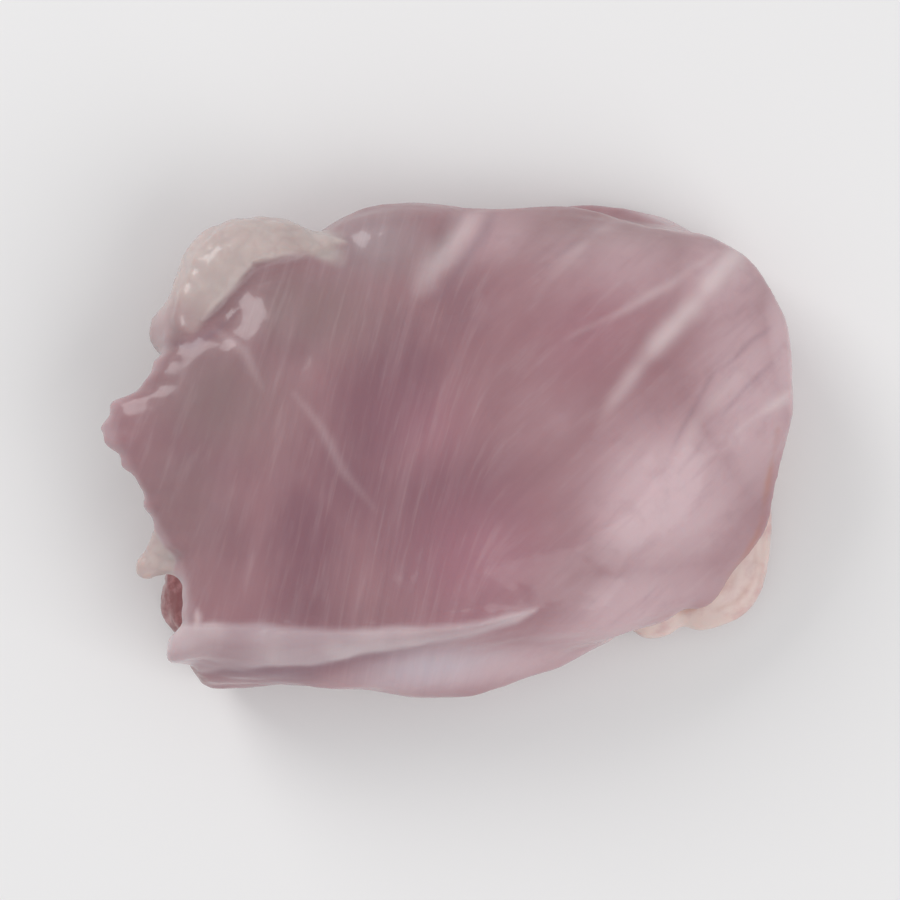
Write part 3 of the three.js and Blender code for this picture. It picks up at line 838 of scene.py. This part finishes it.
# How far the broad noise moves the borders of the deep and pale patches
uneven = dict(middle=0.5, deep=0.7, pale=0.4)
finish = dict(
    wetness=0.8, wetRoughness=0.13, wetIor=1.36, ior=1.4,
    scatter=0.35, scatterDepth=0.0035, scatterRadius=(1.0, 0.38, 0.28),
    roughness=0.36, mottleRoughness=0.14, fatRoughness=0.04, rawSmoothness=0.06,
    bump=0.5, bumpDepth=0.0002, streakBump=0.3, mottleBump=0.6, grainBump=0.14, fineBump=0.3,
)


def wetFlesh():
    bench = Bench("wetFlesh")
    place, fibre = bench.attribute("place", "Vector"), bench.attribute("fibre", "Vector")
    fat, raw, tucked = (bench.attribute(name) for name in ("fat", "raw", "tucked"))
    upward = bench.attribute("upward")

    broad = bench.cloud(place, **noises["broad"])
    mottle = bench.cloud(place, **noises["mottle"])
    along = bench.cloud(fibre, **noises["along"])
    wrap = bench.cloud(place, **noises["wrap"])
    streak = along * upward + wrap * (1 - upward)
    grain = bench.cloud(place, **noises["grain"])
    strand = bench.cloud(fibre, **noises["strand"])
    rawStrand = bench.cloud(place, **noises["rawStrand"])

    def over(base, name, share):
        return bench.colour(base, flesh[name], share)

    def masked(name):
        return bench.attribute(name) * cover[name]

    def level(name, noise):
        return bench.ramp(noise, *levels[name])

    def noisy(name, noise):
        return level(name, noise) * cover[name]

    def patchy(name):
        return level(name, bench.attribute(name) + (broad - uneven["middle"]) * uneven[name])

    base = over(flesh["muscle"], "deep", patchy("deep"))
    base = over(base, "rose", masked("rose"))
    base = over(base, "grey", masked("grey"))
    # paler fascia, partly painted sheen on the right side and rims
    base = over(base, "pale", patchy("pale"))
    base = over(base, "pale", noisy("streak", streak))
    base = over(base, "deep", noisy("mottle", mottle))
    base = over(base, "silver", noisy("silverStrand", strand) * upward)
    base = over(base, "deep", noisy("deepStrand", strand) * upward)
    base = over(base, "sheen", masked("sheen"))
    # painted shade along the furrows, under the fat ridge and along the pad's edge
    base = over(base, "furrowShade", masked("dark"))
    # silvery seams, on the upper right partly painted glare streaks
    base = over(base, "silver", masked("lines"))
    base = over(base, "thin", masked("thin"))
    bare = over(flesh["raw"], "rawPale", noisy("rawPale", rawStrand))
    bare = over(bare, "rawDark", noisy("rawDark", mottle))
    bare = over(bare, "septa", masked("septa") * level("septa", grain))
    base = bench.colour(base, bare, raw)
    cream = over(flesh["cream"], "creamPink", noisy("creamPink", mottle))
    base = bench.colour(base, cream, tucked * cover["tucked"])
    base = over(base, "rust", masked("rust"))
    strip = over(flesh["strip"], "stripDim", level("stripDim", broad))
    base = bench.colour(base, strip, masked("strip"))
    pad = over(flesh["fat"], "fatDim", noisy("fatDim", broad) + masked("lobes"))
    base = bench.colour(base, pad, fat * cover["fat"])

    fine = strand * upward + rawStrand * raw
    height = (streak * finish["streakBump"] + mottle * finish["mottleBump"]
              + grain * finish["grainBump"] + fine * finish["fineBump"])
    bump = bench.node("ShaderNodeBump", None, Strength=finish["bump"],
                      Distance=finish["bumpDepth"], Height=height)
    roughness = (finish["roughness"] + mottle * finish["mottleRoughness"]
                 + fat * finish["fatRoughness"] - raw * finish["rawSmoothness"])
    surface = bench.node(
        "ShaderNodeBsdfPrincipled", dict(subsurface_method="RANDOM_WALK"),
        **{"Base Color": base, "Roughness": roughness, "Normal": bump, "IOR": finish["ior"],
           "Subsurface Weight": finish["scatter"], "Subsurface Radius": finish["scatterRadius"],
           "Subsurface Scale": finish["scatterDepth"], "Coat Weight": finish["wetness"],
           "Coat Roughness": finish["wetRoughness"], "Coat IOR": finish["wetIor"]},
    )
    bench.node("ShaderNodeOutputMaterial", None, surface)
    return bench.material


def makeThigh():
    points, quads = meatSurface()
    print("surface laid:", len(points), "points")
    piece = newMesh("thighMeat", points, quads, wetFlesh())
    normals = vertexNormals(piece.data)
    masks = surfaceMasks(points, normals)
    shaped = points + normals * fineRelief(points, masks)[:, None]
    piece.data.vertices.foreach_set("co", np.ravel(shaped * mm))
    storeOn(piece.data, "place", "FLOAT_VECTOR", points)
    storeOn(piece.data, "fibre", "FLOAT_VECTOR", fibrePlace(points))
    for name, values in masks.items():
        storeOn(piece.data, name, "FLOAT", values)
    piece.data.update()
    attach(piece, "root")
    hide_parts("thigh")
    print("thigh shaped and coloured")


# The studio: a pale floor, soft light and a camera straight above

studio = dict(
    floorSize=4.0, floorLow=-0.05, floorShade=(0.80, 0.79, 0.785), floorGrain=0.02,
    floorRoughness=0.55, grainRoughness=0.1, skyShade=(0.97, 0.98, 1.0), skyStrength=0.6,
    lights=[
        dict(name="backSoft", at=(-0.75, 0.75, 0.7), size=0.65, power=7.0),
        dict(name="sheenSoft", at=(0.7, -0.55, 0.85), size=1.0, power=6.0),
    ],
    target=(0, 0, 0.012), lens=180, cameraHeight=0.66,
)


def aim(thing, at, target):
    thing.location = at
    thing.rotation_mode = "QUATERNION"
    thing.rotation_quaternion = (Vector(target) - Vector(at)).to_track_quat("-Z", "Y")


def makeStudio():
    scene = bpy.context.scene
    bench = Bench("paleFloor")
    grain = bench.cloud(bench.node("ShaderNodeTexCoord", dict(output="Object")),
                        studio["floorGrain"])
    roughness = studio["floorRoughness"] + grain * studio["grainRoughness"]
    surface = bench.node("ShaderNodeBsdfPrincipled", None,
                         **{"Base Color": studio["floorShade"], "Roughness": roughness})
    bench.node("ShaderNodeOutputMaterial", None, surface)
    half = studio["floorSize"] / 2 / mm
    low = studio["floorLow"]
    corners = np.array([(-half, -half, low), (half, -half, low), (half, half, low),
                        (-half, half, low)])
    floor = newMesh("floor", corners, np.array([[0, 1, 2, 3]]), bench.material)

    for light in studio["lights"]:
        data = bpy.data.lights.new(light["name"], "AREA")
        data.size, data.energy = light["size"], light["power"]
        lamp = bpy.data.objects.new(light["name"], data)
        scene.collection.objects.link(lamp)
        aim(lamp, light["at"], studio["target"])
    scene.world = bpy.data.worlds.new("studioSky")
    scene.world.use_nodes = True
    sky = scene.world.node_tree.nodes["Background"]
    sky.inputs["Color"].default_value = (*studio["skyShade"], 1)
    sky.inputs["Strength"].default_value = studio["skyStrength"]
    scene.view_settings.view_transform = "Standard"

    data = bpy.data.cameras.new("aboveCamera")
    data.lens = studio["lens"]
    camera = bpy.data.objects.new("aboveCamera", data)  # unturned, it looks straight down
    camera.location = (0, 0, studio["cameraHeight"])
    scene.collection.objects.link(camera)
    scene.camera = camera
    print("studio ready")


makeStudio()
makeThigh()
